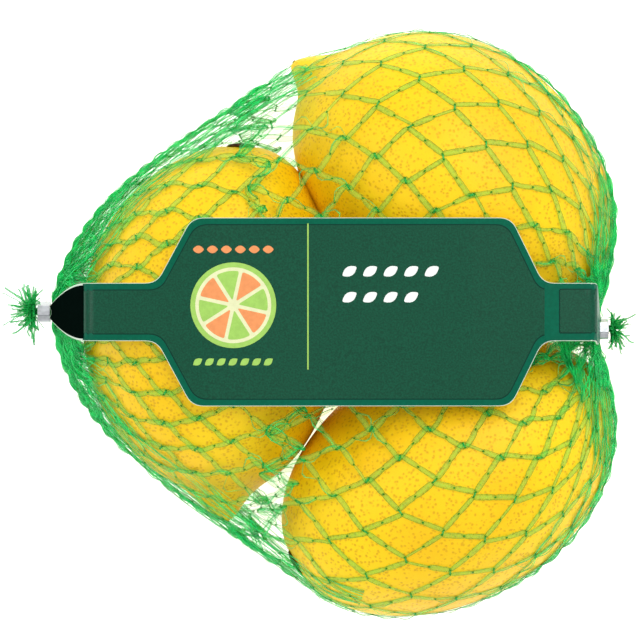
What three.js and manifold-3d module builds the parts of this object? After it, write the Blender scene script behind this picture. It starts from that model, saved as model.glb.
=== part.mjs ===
// Three lemons in a knitted net tube, closed at both ends with a small metal clip,
// with a stiff printed band over the top that runs from clip to clip.
// Millimetres, +Z up. The net lies on its back, with the band on top. +X runs from the
// left clip to the right clip, and the origin ends up under the middle of the whole.

import * as THREE from 'three';
import { mergeVertices } from 'three/addons/utils/BufferGeometryUtils.js';
import Module from 'manifold-3d';

// Lemons: the middle in plan, the way the blossom tip points, and the body's sizes.
// tip is how far the nipple stands out of the oval body, and tipWidth how slim it is.
// bend is how far the blossom end leans to the left of the way it points.
const LEMONS = [
  { x: -24.9, y: 0.3, turn: -91.4, halfLength: 40.4, radius: 30.0, tip: 6.5, tipWidth: 5.8, bend: 2.6 },
  { x: 31.6, y: 32.1, turn: 136.6, halfLength: 40.7, radius: 30.8, tip: 5.8, tipWidth: 4.8, bend: 4.0 },
  { x: 30.1, y: -36.5, turn: 29.2, halfLength: 41.4, radius: 28.8, tip: 0.8, tipWidth: 7.0, bend: 2.2 },
];
const BEND_POWER = 3; // the lean grows with this power of the distance from the middle
const NET_THICKNESS = 0.7;
const REST_FLAT_DEPTH = 0.5; // how far the net is pressed flat under each lemon

// Net skin: a tube of threads pulled over the lemons.
const STATIONS = 58;
const WALES = 64;
const LENGTHWISE_PULL = 1.0;
const CROSSWISE_PULL = 0.14;
const BOW = 0.0087; // how far the springy threads bow outwards, as a share of their spacing
const CROWDING = 0.018; // further push outwards where the threads crowd towards a clip
const FREE_WIDTH = 5.2; // two spacings that are still uncrowded
const BOW_UPWARDS = 0.15; // the band and the table keep the net from bowing up and down
const SWEEPS = 900;
const START_HALF_WIDTH = 76;
const START_HALF_HEIGHT = 46;

// Necks, clips and the cut ends of the net beyond them.
const NECK_RADIUS = 1.2;
const CLIP_LENGTH = 2.8;
const CLIP_HALF_SIZE = 2.4;
const CLIP_CORNER = 0.9;
const FIT_GAP = 0.3;
const LEFT_CLIP = new THREE.Vector3(-64.1, 1.9, 28.0);
const RIGHT_CLIP = new THREE.Vector3(64.8, -2.0, 38.0);
const NECK_SLACK = 0.9; // neck that shows on either side of a clip
// Each ring of a cut end: its distance past the neck, its half width and its half height.
const LEFT_TUFT = [[0.4, 2.6, 2.0], [1.0, 4.6, 3.4], [1.7, 6.2, 4.2], [2.3, 6.9, 4.4]];
const RIGHT_TUFT = [[0.5, 3.0, 2.2], [1.2, 6.0, 3.8], [2.0, 8.4, 4.8], [2.6, 9.0, 5.0]];
const TUFT_HOLLOW = 0.8; // how far the middle of a cut end sinks in

// Band: a stiff strip with a wide middle, seen from above as a rectangle with cut corners.
const BAND_THICKNESS = 0.4;
const BAND_Y = 1.8;
const BAND_HALF_WIDTH = 21.1;
const STRIP_HALF_WIDTH = 6.5;
const BAND_LEFT = -36.6; // where the strip starts to widen, then where it is full
const BAND_LEFT_FULL = -28.6;
const BAND_RIGHT_FULL = 42.8;
const BAND_RIGHT = 50.0;
const BAND_CLEARANCE = 0.35;
const BAND_TILT = 0.04; // rise per millimetre of +Y over the two right lemons
const BAND_TILT_START = -20;
const BAND_TILT_END = 25;
const LEFT_CREASE = { x: -52.6, z: 58.6, round: 2.2 };
const RIGHT_CREASE = { x: 61.9, z: 59.5, round: 2.0 };
const LEFT_END = { x: -62.3, z: 33.0, halfWidth: 1.3 };
const RIGHT_END = { x: 63.9, z: 41.4, halfWidth: 2.2 };
const END_FOLD = 1.3; // depth of the lengthwise fold where the strip pinches together
const BAND_STEP = 1.9;
const BAND_COLUMNS = 4;

const material = (color, roughness, metalness = 0) =>
  new THREE.MeshStandardMaterial({ color, roughness, metalness });
const netMaterial = material(0xdfc02a, 0.55);
const bandMaterial = material(0x1f5241, 0.4);
const clipMaterial = material(0xc9cacf, 0.35, 1);

const wasm = await Module();
wasm.setup();

// Takes a block out of a closed mesh.
function cutAway(geometry, block) {
  const [solid, tool] = [geometry, block].map((shape) => {
    const bare = shape.clone();
    bare.deleteAttribute('normal');
    bare.deleteAttribute('uv');
    const merged = mergeVertices(bare);
    const vertProperties = new Float32Array(merged.attributes.position.array);
    const triVerts = new Uint32Array(merged.index.array);
    return new wasm.Manifold(new wasm.Mesh({ numProp: 3, vertProperties, triVerts }));
  });
  const result = solid.subtract(tool).getMesh();
  const cut = new THREE.BufferGeometry();
  cut.setAttribute('position', new THREE.BufferAttribute(result.vertProperties, 3));
  cut.setIndex(new THREE.BufferAttribute(result.triVerts, 1));
  return cut;
}

// Mesh helpers: a skin through rings of points, closed by a cap at each end.
function closedTube(rings, firstTip, lastTip) {
  const count = rings[0].length;
  const points = [...rings.flat(), firstTip, lastTip];
  const first = points.length - 2;
  const last = points.length - 1;
  const faces = [];
  for (let i = 0; i + 1 < rings.length; i++) {
    for (let j = 0; j < count; j++) {
      const a = i * count + j;
      const b = i * count + ((j + 1) % count);
      faces.push(a, b, a + count, b, b + count, a + count);
    }
  }
  const end = (rings.length - 1) * count;
  for (let j = 0; j < count; j++) {
    const next = (j + 1) % count;
    faces.push(first, next, j);
    faces.push(last, end + j, end + next);
  }
  const geometry = new THREE.BufferGeometry().setFromPoints(points);
  geometry.setIndex(faces);
  return geometry;
}

// The oval profile of a lemon, from the tip at angle 0 to the stem at angle pi.
function profilePoint(lemon, angle) {
  const out = lemon.radius * Math.sin(angle);
  const nipple = Math.cos(angle) > 0 ? lemon.tip * Math.exp(-((out / lemon.tipWidth) ** 2)) : 0;
  return { along: lemon.halfLength * Math.cos(angle) + nipple, out };
}

// A lemon as an obstacle: how far its skin reaches from its middle in each direction.
function makeObstacle(lemon) {
  const steps = 180;
  const table = [];
  for (let k = 0; k <= steps; k++) {
    const { along, out } = profilePoint(lemon, (k * Math.PI) / steps);
    table.push({ bearing: Math.atan2(out, along), reach: Math.hypot(along, out) });
  }
  const turn = THREE.MathUtils.degToRad(lemon.turn);
  return {
    middle: new THREE.Vector3(lemon.x, lemon.y, lemon.radius + NET_THICKNESS - REST_FLAT_DEPTH),
    axis: new THREE.Vector3(Math.cos(turn), Math.sin(turn), 0),
    side: new THREE.Vector3(-Math.sin(turn), Math.cos(turn), 0),
    leanAt: (along) => lemon.bend * Math.max(0, along / lemon.halfLength) ** BEND_POWER,
    table,
  };
}

function reachAt(table, bearing) {
  let low = 0;
  let high = table.length - 1;
  while (high - low > 1) {
    const mid = (low + high) >> 1;
    if (table[mid].bearing <= bearing) low = mid;
    else high = mid;
  }
  const span = table[high].bearing - table[low].bearing;
  const share = span > 0 ? (bearing - table[low].bearing) / span : 0;
  return THREE.MathUtils.lerp(table[low].reach, table[high].reach, share);
}

// Moves a point of the net straight out from a lemon's middle until it lies on the skin.
const offset = new THREE.Vector3();
function pushOut(point, obstacle) {
  offset.subVectors(point, obstacle.middle);
  const lean = obstacle.leanAt(offset.dot(obstacle.axis));
  offset.addScaledVector(obstacle.side, -lean);
  const distance = offset.length();
  const bearing = Math.acos(THREE.MathUtils.clamp(offset.dot(obstacle.axis) / distance, -1, 1));
  const wanted = reachAt(obstacle.table, bearing) + NET_THICKNESS;
  if (distance >= wanted) return;
  point.copy(obstacle.middle).addScaledVector(offset, wanted / distance);
  point.addScaledVector(obstacle.side, lean);
}

function circleRing(centre, halfWidth, halfHeight) {
  const ring = [];
  for (let j = 0; j < WALES; j++) {
    const angle = (j * 2 * Math.PI) / WALES;
    const y = centre.y + halfWidth * Math.cos(angle);
    const z = centre.z + halfHeight * Math.sin(angle);
    ring.push(new THREE.Vector3(centre.x, y, z));
  }
  return ring;
}

// The net starts as a wide bag and is drawn in until its threads lie on the lemons.
function relaxedNet(leftNeck, rightNeck) {
  const obstacles = LEMONS.map(makeObstacle);
  const rings = [];
  for (let i = 0; i <= STATIONS; i++) {
    const share = i / STATIONS;
    const swell = Math.sin(Math.PI * share) ** 0.6;
    const centre = new THREE.Vector3().lerpVectors(leftNeck, rightNeck, share);
    const halfWidth = NECK_RADIUS + START_HALF_WIDTH * swell;
    rings.push(circleRing(centre, halfWidth, NECK_RADIUS + START_HALF_HEIGHT * swell));
  }
  const pull = 2 * (LENGTHWISE_PULL + CROSSWISE_PULL);
  const next = new THREE.Vector3();
  const lengthwise = new THREE.Vector3();
  const crosswise = new THREE.Vector3();
  for (let sweep = 0; sweep < SWEEPS; sweep++) {
    for (let i = 1; i < STATIONS; i++) {
      for (let j = 0; j < WALES; j++) {
        const point = rings[i][j];
        const before = rings[i - 1][j];
        const after = rings[i + 1][j];
        const left = rings[i][(j + 1) % WALES];
        const right = rings[i][(j + WALES - 1) % WALES];
        next.copy(before).add(after).multiplyScalar(LENGTHWISE_PULL / pull);
        next.addScaledVector(left, CROSSWISE_PULL / pull);
        next.addScaledVector(right, CROSSWISE_PULL / pull);
        lengthwise.subVectors(after, before);
        crosswise.subVectors(left, right);
        const width = crosswise.length();
        const bow = BOW * width + CROWDING * Math.max(0, FREE_WIDTH - width);
        crosswise.cross(lengthwise).normalize();
        crosswise.z *= BOW_UPWARDS;
        next.addScaledVector(crosswise, bow);
        point.copy(next);
        obstacles.forEach((obstacle) => pushOut(point, obstacle));
        point.z = Math.max(point.z, -REST_FLAT_DEPTH);
      }
    }
  }
  return rings;
}

function tuftRings(neckEnd, direction, rows) {
  return rows.map(([past, halfWidth, halfHeight]) => {
    const centre = neckEnd.clone().setX(neckEnd.x + direction * past);
    return circleRing(centre, halfWidth, halfHeight);
  });
}

// Net, necks and cut ends are one skin, because the net is one piece of knitting.
const neckHalf = CLIP_LENGTH / 2 + NECK_SLACK;
const shifted = (point, dx) => point.clone().setX(point.x + dx);
const leftNeck = shifted(LEFT_CLIP, neckHalf);
const leftNeckEnd = shifted(LEFT_CLIP, -neckHalf);
const rightNeck = shifted(RIGHT_CLIP, -neckHalf);
const rightNeckEnd = shifted(RIGHT_CLIP, neckHalf);
const bagRings = relaxedNet(leftNeck, rightNeck);
const netRings = [
  ...tuftRings(leftNeckEnd, -1, LEFT_TUFT).reverse(),
  circleRing(leftNeckEnd, NECK_RADIUS, NECK_RADIUS),
  ...bagRings,
  circleRing(rightNeckEnd, NECK_RADIUS, NECK_RADIUS),
  ...tuftRings(rightNeckEnd, 1, RIGHT_TUFT),
];
const leftTip = shifted(leftNeckEnd, TUFT_HOLLOW - LEFT_TUFT.at(-1)[0]);
const rightTip = shifted(rightNeckEnd, RIGHT_TUFT.at(-1)[0] - TUFT_HOLLOW);
const uncutNet = closedTube(netRings, leftTip, rightTip);

// The table presses the net flat under each lemon.
const tableSize = 4 * START_HALF_WIDTH;
const tableDepth = 20;
const table = new THREE.BoxGeometry(tableSize, tableSize, tableDepth).translate(0, 0, -tableDepth / 2);
const netGeometry = cutAway(uncutNet, table);

// Clips: a bent metal ring with a square outside and a round hole, squeezed on the neck.
function clipGeometry() {
  const half = CLIP_HALF_SIZE;
  const flat = half - CLIP_CORNER;
  const outline = new THREE.Shape();
  outline.moveTo(-flat, -half);
  outline.lineTo(flat, -half);
  outline.absarc(flat, -flat, CLIP_CORNER, -Math.PI / 2, 0);
  outline.lineTo(half, flat);
  outline.absarc(flat, flat, CLIP_CORNER, 0, Math.PI / 2);
  outline.lineTo(-flat, half);
  outline.absarc(-flat, flat, CLIP_CORNER, Math.PI / 2, Math.PI);
  outline.lineTo(-half, -flat);
  outline.absarc(-flat, -flat, CLIP_CORNER, Math.PI, 1.5 * Math.PI);
  const hole = new THREE.Path();
  hole.absarc(0, 0, NECK_RADIUS + FIT_GAP, 0, 2 * Math.PI, true);
  outline.holes.push(hole);
  const options = { depth: CLIP_LENGTH, bevelEnabled: false, curveSegments: 6 };
  return new THREE.ExtrudeGeometry(outline, options).translate(0, 0, -CLIP_LENGTH / 2);
}

// Band: its side view is a taut line over the net, found as the upper hull of the net's
// highest points under it, with a crease at each end where the strip turns down to a clip.
const tiltAt = (x) => BAND_TILT * THREE.MathUtils.smoothstep(x, BAND_TILT_START, BAND_TILT_END);

function halfWidthAt(x) {
  const middle = BAND_HALF_WIDTH;
  const strip = STRIP_HALF_WIDTH;
  if (x <= BAND_LEFT || x >= BAND_RIGHT) return strip;
  if (x < BAND_LEFT_FULL) return THREE.MathUtils.mapLinear(x, BAND_LEFT, BAND_LEFT_FULL, strip, middle);
  if (x > BAND_RIGHT_FULL) return THREE.MathUtils.mapLinear(x, BAND_RIGHT_FULL, BAND_RIGHT, middle, strip);
  return middle;
}

function tautLine() {
  const lift = BAND_CLEARANCE + BAND_THICKNESS / 2;
  const under = [];
  bagRings.flat().forEach((p) => {
    const inside = p.x > LEFT_CREASE.x && p.x < RIGHT_CREASE.x;
    if (inside && Math.abs(p.y - BAND_Y) <= halfWidthAt(p.x) + NET_THICKNESS) {
      under.push(new THREE.Vector2(p.x, p.z + lift - tiltAt(p.x) * (p.y - BAND_Y)));
    }
  });
  under.push(new THREE.Vector2(LEFT_CREASE.x, LEFT_CREASE.z));
  under.push(new THREE.Vector2(RIGHT_CREASE.x, RIGHT_CREASE.z));
  under.sort((a, b) => a.x - b.x);
  const hull = [];
  under.forEach((p) => {
    while (hull.length > 1) {
      const [a, b] = hull.slice(-2);
      if ((b.x - a.x) * (p.y - a.y) - (b.y - a.y) * (p.x - a.x) < 0) break;
      hull.pop();
    }
    hull.push(p);
  });
  return hull;
}

// The line with its two creases rounded, from the left clip to the right clip.
function bandPath() {
  const line = tautLine();
  const left = new THREE.Vector2(LEFT_END.x, LEFT_END.z);
  const right = new THREE.Vector2(RIGHT_END.x, RIGHT_END.z);
  const path = new THREE.CurvePath();
  const towards = (from, to, distance) => to.clone().sub(from).setLength(distance).add(from);
  const leftIn = towards(line[0], left, LEFT_CREASE.round);
  const leftOut = towards(line[0], line[1], LEFT_CREASE.round);
  const rightIn = towards(line.at(-1), line.at(-2), RIGHT_CREASE.round);
  const rightOut = towards(line.at(-1), right, RIGHT_CREASE.round);
  path.add(new THREE.LineCurve(left, leftIn));
  path.add(new THREE.QuadraticBezierCurve(leftIn, line[0], leftOut));
  const level = [leftOut, ...line.slice(1, -1), rightIn];
  for (let k = 0; k + 1 < level.length; k++) path.add(new THREE.LineCurve(level[k], level[k + 1]));
  path.add(new THREE.QuadraticBezierCurve(rightIn, line.at(-1), rightOut));
  path.add(new THREE.LineCurve(rightOut, right));
  return path;
}

// Across the strip: half width, middle in Y and depth of the fold for a point of the path.
function bandSection(point) {
  if (point.y < LEFT_CREASE.z && point.x < LEFT_CREASE.x) {
    const share = THREE.MathUtils.mapLinear(point.y, LEFT_CREASE.z, LEFT_END.z, 0, 1);
    const halfWidth = THREE.MathUtils.lerp(STRIP_HALF_WIDTH, LEFT_END.halfWidth, share * share);
    return { halfWidth, fold: END_FOLD * share * (1 - 0.5 * share), middle: BAND_Y };
  }
  if (point.y < RIGHT_CREASE.z && point.x > BAND_RIGHT) {
    const share = THREE.MathUtils.mapLinear(point.y, RIGHT_CREASE.z, RIGHT_END.z, 0, 1);
    const halfWidth = THREE.MathUtils.lerp(STRIP_HALF_WIDTH, RIGHT_END.halfWidth, share * share);
    const middle = THREE.MathUtils.lerp(BAND_Y, RIGHT_CLIP.y, share);
    return { halfWidth, fold: 0, middle };
  }
  return { halfWidth: halfWidthAt(point.x), fold: 0, middle: BAND_Y };
}

function bandGeometry() {
  const path = bandPath();
  const count = Math.round(path.getLength() / BAND_STEP);
  const centres = path.getSpacedPoints(count);
  const rings = centres.map((point, i) => {
    const before = centres[Math.max(i - 1, 0)];
    const after = centres[Math.min(i + 1, count)];
    const along = after.clone().sub(before).normalize();
    const up = new THREE.Vector2(-along.y, along.x);
    const { halfWidth, fold, middle } = bandSection(point);
    const corner = (column, side) => {
      const across = (2 * column) / BAND_COLUMNS - 1;
      const rise = side * (BAND_THICKNESS / 2) - fold * (1 - Math.abs(across));
      const tilt = tiltAt(point.x) * across * halfWidth * (halfWidth > STRIP_HALF_WIDTH ? 1 : 0);
      const y = middle + across * halfWidth;
      return new THREE.Vector3(point.x + up.x * rise, y, point.y + up.y * rise + tilt);
    };
    const ring = [];
    for (let column = 0; column <= BAND_COLUMNS; column++) ring.push(corner(column, -1));
    for (let column = BAND_COLUMNS; column >= 0; column--) ring.push(corner(column, 1));
    return ring;
  });
  return closedStrip(rings);
}

// A strip's skin: the sides run from ring to ring, and each end is closed across its width.
function closedStrip(rings) {
  const count = rings[0].length;
  const faces = [];
  for (let i = 0; i + 1 < rings.length; i++) {
    for (let j = 0; j < count; j++) {
      const a = i * count + j;
      const b = i * count + ((j + 1) % count);
      faces.push(a, b, a + count, b, b + count, a + count);
    }
  }
  const end = (rings.length - 1) * count;
  for (let column = 0; column < BAND_COLUMNS; column++) {
    const low = column;
    const high = count - 1 - column;
    faces.push(low, high, low + 1, low + 1, high, high - 1);
    faces.push(end + low, end + low + 1, end + high, end + low + 1, end + high - 1, end + high);
  }
  const geometry = new THREE.BufferGeometry().setFromPoints(rings.flat());
  geometry.setIndex(faces);
  return geometry;
}

const group = new THREE.Group();
function addPart(name, geometry, partMaterial, position) {
  const mesh = new THREE.Mesh(geometry, partMaterial);
  mesh.name = name;
  if (position) mesh.position.copy(position);
  group.add(mesh);
  return mesh;
}

addPart('net_bag', netGeometry, netMaterial);
addPart('label_band', bandGeometry(), bandMaterial);
for (const [name, place] of [['clip_left', LEFT_CLIP], ['clip_right', RIGHT_CLIP]]) {
  const geometry = clipGeometry().deleteAttribute('normal').deleteAttribute('uv');
  addPart(name, mergeVertices(geometry), clipMaterial, place).rotation.y = Math.PI / 2;
}

// The origin is under the middle of the whole, on the surface that it rests on.
group.updateMatrixWorld(true);
const box = new THREE.Box3().setFromObject(group);
const middle = box.getCenter(new THREE.Vector3());
group.position.set(-middle.x, -middle.y, -box.min.z);

export default group;
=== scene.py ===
"""Three lemons in a knitted net tube with a printed band over the top.

Lengths are millimetres in the row frame, and turn into metres where a mesh is made.
"""

import bpy
import numpy as np
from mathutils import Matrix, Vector
from mathutils.bvhtree import BVHTree
from mathutils.geometry import delaunay_2d_cdt


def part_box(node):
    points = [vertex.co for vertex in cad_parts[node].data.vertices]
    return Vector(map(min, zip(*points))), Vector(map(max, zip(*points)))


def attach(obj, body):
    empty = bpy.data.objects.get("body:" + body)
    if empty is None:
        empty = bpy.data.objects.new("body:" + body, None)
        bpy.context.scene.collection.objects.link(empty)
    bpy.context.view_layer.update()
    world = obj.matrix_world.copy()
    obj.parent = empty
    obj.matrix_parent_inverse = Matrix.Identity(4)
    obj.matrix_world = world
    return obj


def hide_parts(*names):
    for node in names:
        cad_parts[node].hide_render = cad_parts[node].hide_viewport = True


MM = 0.001
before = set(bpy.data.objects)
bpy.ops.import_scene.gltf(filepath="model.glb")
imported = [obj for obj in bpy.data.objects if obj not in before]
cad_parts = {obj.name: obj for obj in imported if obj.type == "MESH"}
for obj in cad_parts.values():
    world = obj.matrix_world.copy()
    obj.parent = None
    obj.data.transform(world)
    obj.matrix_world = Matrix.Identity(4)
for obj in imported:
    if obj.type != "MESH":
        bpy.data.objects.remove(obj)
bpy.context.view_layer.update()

# The same driving places as in the model, before its origin was moved under its middle.
LEFT_CLIP = np.array([-64.1, 1.9, 28.0])
RIGHT_CLIP = np.array([64.8, -2.0, 38.0])
CLIP_LENGTH = 2.8
CLIP_HALF_SIZE = 2.4
NECK_SLACK = 0.9
NECK_RADIUS = 1.2
NET_THICKNESS = 0.7
REST_FLAT_DEPTH = 0.5
UP = np.array([0.0, 0.0, 1.0])


def middle_of(node):
    """Middle of a node's box, in millimetres."""
    low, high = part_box(node)
    return (np.array(low) + np.array(high)) / (2 * MM)


SHIFT = middle_of("clip_left") - LEFT_CLIP

# Camera: straight above, a long way off, so that the net fills the frame as in the photo.
FRAME_PIXELS = 640
PIXEL = 0.232
MID_HEIGHT = 30.0
CAMERA_DISTANCE = 900.0
SENSOR = 36.0


def add_object(name, data):
    """A new object in the scene."""
    thing = bpy.data.objects.new(name, data)
    bpy.context.scene.collection.objects.link(thing)
    return thing


def make_camera():
    """The camera over the net."""
    data = bpy.data.cameras.new("camera")
    camera = add_object("camera", data)
    data.sensor_width = SENSOR
    data.lens = SENSOR * CAMERA_DISTANCE / (FRAME_PIXELS * PIXEL)
    data.clip_start = 0.05
    data.clip_end = 10.0
    camera.location = (SHIFT[0] * MM, SHIFT[1] * MM, (MID_HEIGHT + CAMERA_DISTANCE) * MM)
    bpy.context.scene.camera = camera


make_camera()


# Mesh helpers
def make_piece(name, verts, faces, material, slot, *nodes, smooth=True):
    """A piece from vertices in millimetres and faces, one array for each face size.

    It rides the body, and stands for the nodes that are named.
    """
    mesh = bpy.data.meshes.new(name)
    faces = [np.asarray(f, np.int32) for f in faces if len(f)]
    sizes = np.concatenate([np.full(len(f), f.shape[1], np.int32) for f in faces])
    corners = np.concatenate([f.ravel() for f in faces])
    mesh.vertices.add(len(verts))
    mesh.vertices.foreach_set("co", (np.asarray(verts, float) * MM).ravel())
    mesh.loops.add(len(corners))
    mesh.loops.foreach_set("vertex_index", corners)
    mesh.polygons.add(len(sizes))
    mesh.polygons.foreach_set("loop_start", np.concatenate([[0], np.cumsum(sizes)[:-1]]))
    mesh.polygons.foreach_set("use_smooth", np.full(len(sizes), smooth))
    mesh.materials.append(material)
    mesh.update(calc_edges=True)
    mesh.validate()
    piece = add_object(name, mesh)
    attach(piece, "root")
    if nodes:
        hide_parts(*nodes)


def unit(v):
    """Directions with a length of one."""
    return v / np.maximum(np.linalg.norm(v, axis=-1, keepdims=True), 1e-9)


def run_along(points):
    """The distance from the first to each point of a line."""
    return np.concatenate([[0], np.cumsum(np.linalg.norm(np.diff(points, axis=0), axis=1))])


def full_turn(count):
    """Evenly spaced angles round a whole turn."""
    return 2 * np.pi * np.arange(count) / count


def circle(x, y, radius, steps=48):
    """A round outline."""
    turn = full_turn(steps)
    return np.stack([x + radius * np.cos(turn), y + radius * np.sin(turn)], -1)


BOX_SECTION = np.array([(1, 1), (-1, 1), (-1, -1), (1, -1)])


def swept(paths, side, face, half_width, half_depth, sides, section=None):
    """Closed tubes along many paths at once: vertices, side faces and end faces.

    paths, side and face are (tubes, steps, 3); half_width runs along side, half_depth along face.
    The section is round, with that many sides, unless its corners are given.
    """
    tubes, steps, _ = paths.shape
    half_width = np.broadcast_to(half_width, (tubes, steps))
    half_depth = np.broadcast_to(half_depth, (tubes, steps))
    if section is None:
        section = circle(0, 0, 1, sides)
    out = side[:, :, None] * (section[:, :1] * half_width[:, :, None, None])
    out = out + face[:, :, None] * (section[:, 1:] * half_depth[:, :, None, None])
    verts = (paths[:, :, None] + out).reshape(-1, 3)
    tube = np.arange(tubes)[:, None, None] * steps * sides
    base = tube + np.arange(steps - 1)[None, :, None] * sides
    here = np.arange(sides)[None, None, :]
    after = (here + 1) % sides
    quads = np.stack([base + here, base + after, base + sides + after, base + sides + here], -1)
    start = np.arange(tubes)[:, None] * steps * sides
    first = start + np.arange(sides)[None, ::-1]
    last = start + (steps - 1) * sides + np.arange(sides)[None, :]
    return verts, quads.reshape(-1, 4), np.concatenate([first, last])


def frames_along(paths, out):
    """Across and outward directions along paths, square to them, from rough outward ones."""
    along = unit(np.gradient(paths, axis=1))
    side = unit(np.cross(out, along))
    return side, np.cross(along, side)


def make_tubes(name, material, *sweep):
    """A piece of the net, out of tubes that are swept as above."""
    verts, quads, ends = swept(*sweep)
    make_piece(name, verts, [quads, ends], material, "net", "net_bag")


# Materials
def srgb(r, g, b):
    """A colour read off the photo, 0 to 255, as the linear colour of a shader."""
    c = np.array([r, g, b]) / 255
    low = c / 12.92
    high = ((c + 0.055) / 1.055) ** 2.4
    return (*np.where(c <= 0.04045, low, high), 1.0)


def new_material(name):
    """A material, its node tree and its shader."""
    material = bpy.data.materials.new(name)
    material.use_nodes = True
    tree = material.node_tree
    return material, tree, tree.nodes["Principled BSDF"]


def set_inputs(node, values):
    """Sets a node's inputs to plain values."""
    for key, value in values.items():
        node.inputs[key].default_value = value


def add_node(tree, kind, inputs=(), **settings):
    """A node with its settings, and with each input set to a value or linked to a socket."""
    node = tree.nodes.new(kind)
    for key, value in settings.items():
        setattr(node, key, value)
    for key, value in dict(inputs).items():
        if isinstance(value, bpy.types.NodeSocket):
            tree.links.new(value, node.inputs[key])
        else:
            node.inputs[key].default_value = value
    return node


def ramp(tree, factor, stops):
    """A colour ramp through the given (position, colour) stops."""
    node = add_node(tree, "ShaderNodeValToRGB", {"Fac": factor})
    elements = node.color_ramp.elements
    while len(elements) < len(stops):
        elements.new(0.5)
    for element, (position, colour) in zip(elements, stops):
        element.position = position
        element.color = colour
    return node.outputs["Color"]


def grey(value):
    return (value, value, value, 1.0)


PEEL_TONES = [(0.34, (250, 197, 1)), (0.5, (253, 206, 3)), (0.66, (254, 214, 8))]
PEEL_TONE_SCALE = 34.0
PEEL_GRAIN_SCALE = 160.0
PORE_COLOUR = (220, 168, 4)
PORE_SCALE = 1060.0
PORE_DOTS = [(0.18, grey(0.85)), (0.46, grey(0))]
PORE_HOLLOWS = [(0.08, grey(0)), (0.42, grey(1))]
PORE_WANDER = 0.0009
PORE_WANDER_SCALE = 420.0
PEEL_SHADER = {
    "Roughness": 0.5,
    "Specular IOR Level": 0.3,
    "Subsurface Weight": 0.1,
    "Subsurface Radius": (0.003, 0.002, 0.0005),
    "Subsurface Scale": 1.0,
}


def object_noise(tree, scale, detail):
    """The outputs of a noise texture that is fixed to the object, and its coordinates."""
    place = add_node(tree, "ShaderNodeTexCoord").outputs["Object"]
    inputs = {"Vector": place, "Scale": scale, "Detail": detail}
    return add_node(tree, "ShaderNodeTexNoise", inputs).outputs, place


def peel_material():
    """Peel with slow changes of tone, and with sunken pores in a darker yellow."""
    material, tree, shader = new_material("peel")
    broad, place = object_noise(tree, PEEL_TONE_SCALE, 3.0)
    base = ramp(tree, broad["Fac"], [(at, srgb(*colour)) for at, colour in PEEL_TONES])
    wander, _ = object_noise(tree, PORE_WANDER_SCALE, 1.0)
    inputs = {0: wander["Color"], "Scale": PORE_WANDER}
    moved = add_node(tree, "ShaderNodeVectorMath", inputs, operation="SCALE")
    inputs = {0: place, 1: moved.outputs[0]}
    pore_place = add_node(tree, "ShaderNodeVectorMath", inputs, operation="ADD")
    inputs = {"Vector": pore_place.outputs[0], "Scale": PORE_SCALE}
    distance = add_node(tree, "ShaderNodeTexVoronoi", inputs).outputs["Distance"]
    inputs = {"Factor": ramp(tree, distance, PORE_DOTS), "A": base, "B": srgb(*PORE_COLOUR)}
    shaded = add_node(tree, "ShaderNodeMix", inputs, data_type="RGBA", blend_type="MIX")
    tree.links.new(shaded.outputs["Result"], shader.inputs["Base Color"])
    grain, _ = object_noise(tree, PEEL_GRAIN_SCALE, 4.0)
    inputs = {0: ramp(tree, distance, PORE_HOLLOWS), 1: grain["Fac"]}
    height = add_node(tree, "ShaderNodeMath", inputs, operation="MULTIPLY")
    inputs = {"Height": height.outputs[0], "Strength": 0.4, "Distance": 0.0003}
    bump = add_node(tree, "ShaderNodeBump", inputs)
    tree.links.new(bump.outputs["Normal"], shader.inputs["Normal"])
    set_inputs(shader, PEEL_SHADER)
    return material


GRAIN_STOPS = (0.35, 0.65)


def plain(name, colour, roughness, alpha=1.0, metallic=0.0, grain=0.0, grain_scale=900.0, shine=0.2):
    """A material of one colour with a fine grain over it."""
    material, tree, shader = new_material(name)
    set_inputs(shader, {
        "Roughness": roughness, "Metallic": metallic, "Alpha": alpha, "Specular IOR Level": shine,
    })
    noise, _ = object_noise(tree, grain_scale, 3.0)
    colour = srgb(*colour)[:3]
    dark = (*[c * (1 - grain) for c in colour], 1.0)
    light = (*[min(1.0, c * (1 + grain)) for c in colour], 1.0)
    shade = ramp(tree, noise["Fac"], list(zip(GRAIN_STOPS, (dark, light))))
    tree.links.new(shade, shader.inputs["Base Color"])
    return material


PEEL = peel_material()
STEM = plain("stem_scar", (74, 44, 16), 0.8, grain=0.4, grain_scale=1500.0)
FILM = plain("net_film", (58, 238, 98), 0.45, alpha=0.18, grain=0.05, grain_scale=300.0, shine=0.3)
FOLDS = plain("net_folds", (20, 232, 114), 0.45, alpha=0.36, grain=0.35, grain_scale=420.0, shine=0.3)
STRAND = plain("net_strands", (36, 200, 96), 0.5, alpha=0.55, grain=0.1, grain_scale=300.0)
EDGE = plain("net_edge", (54, 190, 60), 0.45, alpha=0.28, grain=0.08, grain_scale=300.0)
KNOT = plain("net_knot", (34, 150, 30), 0.45, alpha=0.7, grain=0.15)
PALE_EDGE = plain("band_cut_edge", (206, 222, 204), 0.6, grain=0.03)
RIM = plain("band_rim", (4, 93, 69), 0.36, grain=0.08, grain_scale=1400.0, shine=0.07)
FIELD = plain("band_field", (6, 73, 51), 0.32, grain=0.22, grain_scale=2600.0)
LINE = plain("band_line", (12, 54, 44), 0.4, grain=0.05, shine=0.07)
# Near-black green laid over the left flap: painted shade for the steep folded end, which turns away
# from the light.
PAINTED_FLAP_SHADE = plain("band_painted_shade", (4, 13, 10), 0.7, grain=0.1, shine=0.0)
LIME = plain("print_lime", (158, 203, 95), 0.45, grain=0.06)
PEACH = plain("print_peach", (234, 149, 91), 0.45, grain=0.06)
CREAM = plain("print_cream", (225, 228, 180), 0.45, grain=0.04)
WHITE = plain("print_white", (238, 242, 238), 0.45, grain=0.03)
METAL = plain("clip_metal", (184, 186, 190), 0.34, metallic=0.9, grain=0.08, shine=0.5)

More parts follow.
